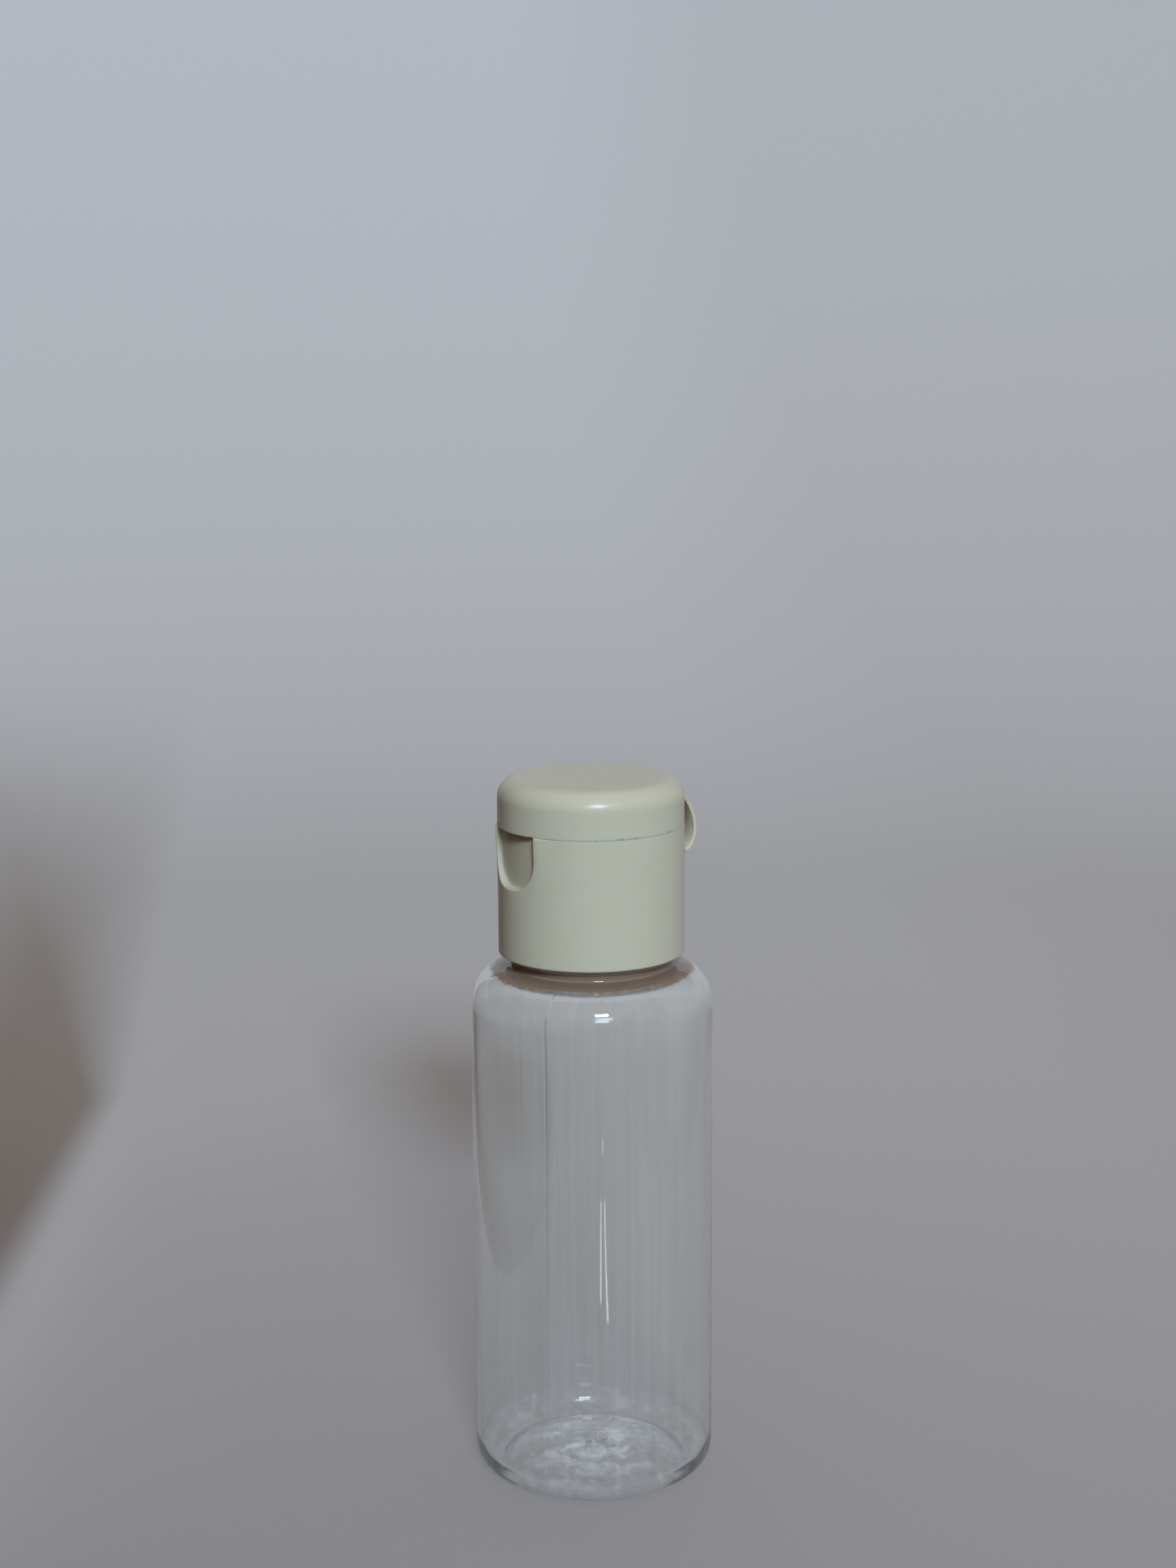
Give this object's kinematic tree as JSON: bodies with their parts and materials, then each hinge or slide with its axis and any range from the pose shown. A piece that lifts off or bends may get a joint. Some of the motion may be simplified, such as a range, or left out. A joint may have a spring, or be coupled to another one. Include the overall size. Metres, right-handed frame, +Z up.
{
  "type": "flip-top paint bottle",
  "caption": "Small clear cylindrical paint bottle with a white screw closure whose lid flips open on a snap hinge over a narrow pouring spout.",
  "frame": {"origin": "centre of the foot, on the surface the bottle stands on", "axes": "+Z up along the bottle's axis; -Y is the side of the thumb recess, +Y the side of the snap hinge"},
  "size_m": [0.0308, 0.0308, 0.0912],
  "materials": {
    "clear_pet": "clear blow-moulded PET",
    "ivory_polypropylene": "satin",
    "foam_washer": "foamed polyethylene"
  },
  "bodies": {
    "bottle": {"bottle": "clear_pet"},
    "washer": {"sealing_washer": "foam_washer"},
    "closure": {"closure_base": "ivory_polypropylene", "hinge_film": "ivory_polypropylene", "hinge_band_left": "ivory_polypropylene", "hinge_band_right": "ivory_polypropylene"},
    "lid": {"flip_lid": "ivory_polypropylene"}
  },
  "joints": [
    {"name": "closure_lift", "type": "slide", "parent": "bottle", "child": "washer", "axis": [0, 0, 1], "range_m": [0, 0.0143]},
    {"name": "closure_turn", "type": "hinge", "parent": "washer", "child": "closure", "pos_m": [0, 0, 0.082], "axis": [0, 0, 1], "range_deg": [0, 1620]},
    {"name": "lid_flip", "type": "hinge", "parent": "closure", "child": "lid", "pos_m": [0, 0.0132, 0.08535], "axis": [-1, 0, 0], "range_deg": [0, 140], "deforming": ["hinge_film", "hinge_band_left", "hinge_band_right"]}
  ],
  "couplings": [
    {"joint": "closure_lift", "follows": "closure_turn", "m_per_rad": 0.00050532}
  ]
}
